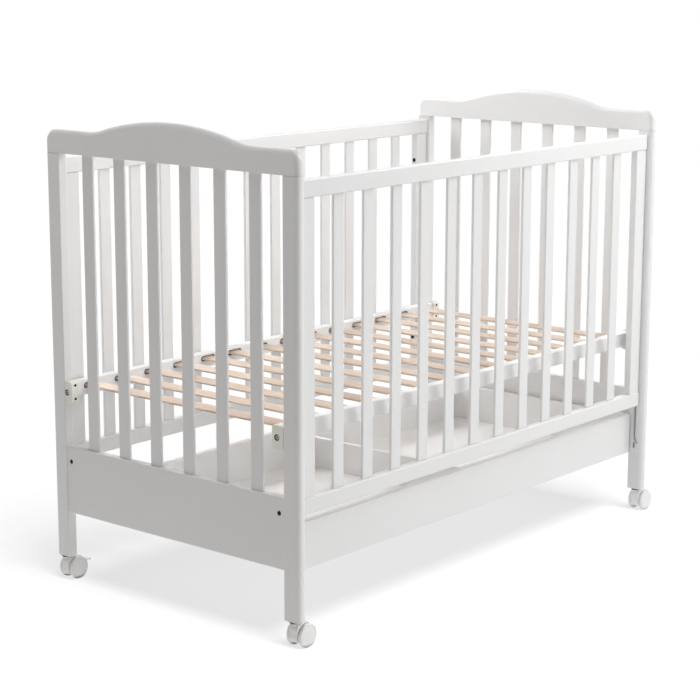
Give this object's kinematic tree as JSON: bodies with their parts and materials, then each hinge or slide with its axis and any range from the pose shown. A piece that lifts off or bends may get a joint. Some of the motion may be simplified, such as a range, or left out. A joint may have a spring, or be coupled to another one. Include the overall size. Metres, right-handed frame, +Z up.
{
  "type": "baby crib",
  "caption": "Slatted baby crib with a drop gate, a fixed slatted back, crowned end frames, a slatted mattress base, an under-bed drawer and four swivel casters, the back two braked.",
  "frame": {"origin": "on the floor, at the bottom centre of the bounding box, with the casters trailing towards +X", "axes": "+X along the crib, towards its right end seen from the gate; -Y is the gate's side; +Z up"},
  "size_m": [1.3504, 0.71, 1.022],
  "materials": {
    "lacquered_wood": "white satin lacquer",
    "beech": "plain beech, matt",
    "white_board": "white laminated board",
    "cream_plastic": "moulded, satin",
    "white_plastic": "moulded, satin",
    "dark_steel": "black"
  },
  "bodies": {
    "frame": {"end_rail_left": "lacquered_wood", "end_panel_left": "lacquered_wood", "gate_track_left": "white_plastic", "end_rail_right": "lacquered_wood", "end_panel_right": "lacquered_wood", "gate_track_right": "white_plastic", "post_front_left": "lacquered_wood", "post_front_right": "lacquered_wood", "post_back_left": "lacquered_wood", "post_back_right": "lacquered_wood", "back_top_rail": "lacquered_wood", "back_slat_row": "lacquered_wood", "back_stile_left": "lacquered_wood", "back_stile_right": "lacquered_wood", "base_front_rail": "lacquered_wood", "base_slat_row": "beech", "base_bracket_front_left": "cream_plastic", "base_bolt_front_left": "dark_steel", "base_bracket_front_right": "cream_plastic", "base_bolt_front_right": "dark_steel", "base_bracket_back_left": "cream_plastic", "base_bolt_back_left": "dark_steel", "base_bracket_back_right": "cream_plastic", "base_bolt_back_right": "dark_steel", "drawer_runner_left": "white_plastic", "drawer_runner_right": "white_plastic"},
    "gate": {"gate_top_rail": "lacquered_wood", "gate_bottom_rail": "lacquered_wood", "gate_stile_left": "lacquered_wood", "gate_stile_right": "lacquered_wood", "gate_slat_01": "lacquered_wood", "gate_slat_02": "lacquered_wood", "gate_slat_03": "lacquered_wood", "gate_slat_04": "lacquered_wood", "gate_slat_05": "lacquered_wood", "gate_slat_06": "lacquered_wood", "gate_slat_07": "lacquered_wood", "gate_slat_08": "lacquered_wood", "gate_slat_09": "lacquered_wood", "gate_slat_10": "lacquered_wood", "gate_slat_11": "lacquered_wood", "gate_slat_12": "lacquered_wood"},
    "drawer": {"drawer_front": "lacquered_wood", "drawer_side_left": "white_board", "drawer_side_right": "white_board", "drawer_back": "white_board", "drawer_floor": "white_board", "drawer_divider": "white_board"},
    "caster_front_left": {"caster_hood_front_left": "white_plastic"},
    "wheels_front_left": {"caster_wheels_front_left": "white_plastic"},
    "caster_front_right": {"caster_hood_front_right": "white_plastic"},
    "wheels_front_right": {"caster_wheels_front_right": "white_plastic"},
    "caster_back_left": {"caster_hood_back_left": "white_plastic"},
    "wheels_back_left": {"caster_wheels_back_left": "white_plastic"},
    "brake_back_left": {"caster_brake_back_left": "white_plastic"},
    "caster_back_right": {"caster_hood_back_right": "white_plastic"},
    "wheels_back_right": {"caster_wheels_back_right": "white_plastic"},
    "brake_back_right": {"caster_brake_back_right": "white_plastic"}
  },
  "joints": [
    {"name": "gate_slide", "type": "slide", "parent": "frame", "child": "gate", "axis": [0, 0, 1], "range_m": [-0.12, 0]},
    {"name": "drawer_slide", "type": "slide", "parent": "frame", "child": "drawer", "axis": [0, -1, 0], "range_m": [0, 0.45]},
    {"name": "swivel_front_left", "type": "hinge", "parent": "frame", "child": "caster_front_left", "pos_m": [-0.66325, -0.335, 0.056], "axis": [0, 0, 1], "continuous": true},
    {"name": "roll_front_left", "type": "hinge", "parent": "caster_front_left", "child": "wheels_front_left", "pos_m": [-0.64475, -0.335, 0.025], "axis": [0, 1, 0], "continuous": true},
    {"name": "swivel_front_right", "type": "hinge", "parent": "frame", "child": "caster_front_right", "pos_m": [0.61275, -0.335, 0.056], "axis": [0, 0, 1], "continuous": true},
    {"name": "roll_front_right", "type": "hinge", "parent": "caster_front_right", "child": "wheels_front_right", "pos_m": [0.63125, -0.335, 0.025], "axis": [0, 1, 0], "continuous": true},
    {"name": "swivel_back_left", "type": "hinge", "parent": "frame", "child": "caster_back_left", "pos_m": [-0.66325, 0.335, 0.056], "axis": [0, 0, 1], "continuous": true},
    {"name": "roll_back_left", "type": "hinge", "parent": "caster_back_left", "child": "wheels_back_left", "pos_m": [-0.64475, 0.335, 0.025], "axis": [0, 1, 0], "continuous": true},
    {"name": "pedal_back_left", "type": "hinge", "parent": "caster_back_left", "child": "brake_back_left", "pos_m": [-0.62425, 0.335, 0.032], "axis": [0, 1, 0], "range_deg": [0, 14]},
    {"name": "swivel_back_right", "type": "hinge", "parent": "frame", "child": "caster_back_right", "pos_m": [0.61275, 0.335, 0.056], "axis": [0, 0, 1], "continuous": true},
    {"name": "roll_back_right", "type": "hinge", "parent": "caster_back_right", "child": "wheels_back_right", "pos_m": [0.63125, 0.335, 0.025], "axis": [0, 1, 0], "continuous": true},
    {"name": "pedal_back_right", "type": "hinge", "parent": "caster_back_right", "child": "brake_back_right", "pos_m": [0.65175, 0.335, 0.032], "axis": [0, 1, 0], "range_deg": [0, 14]}
  ]
}
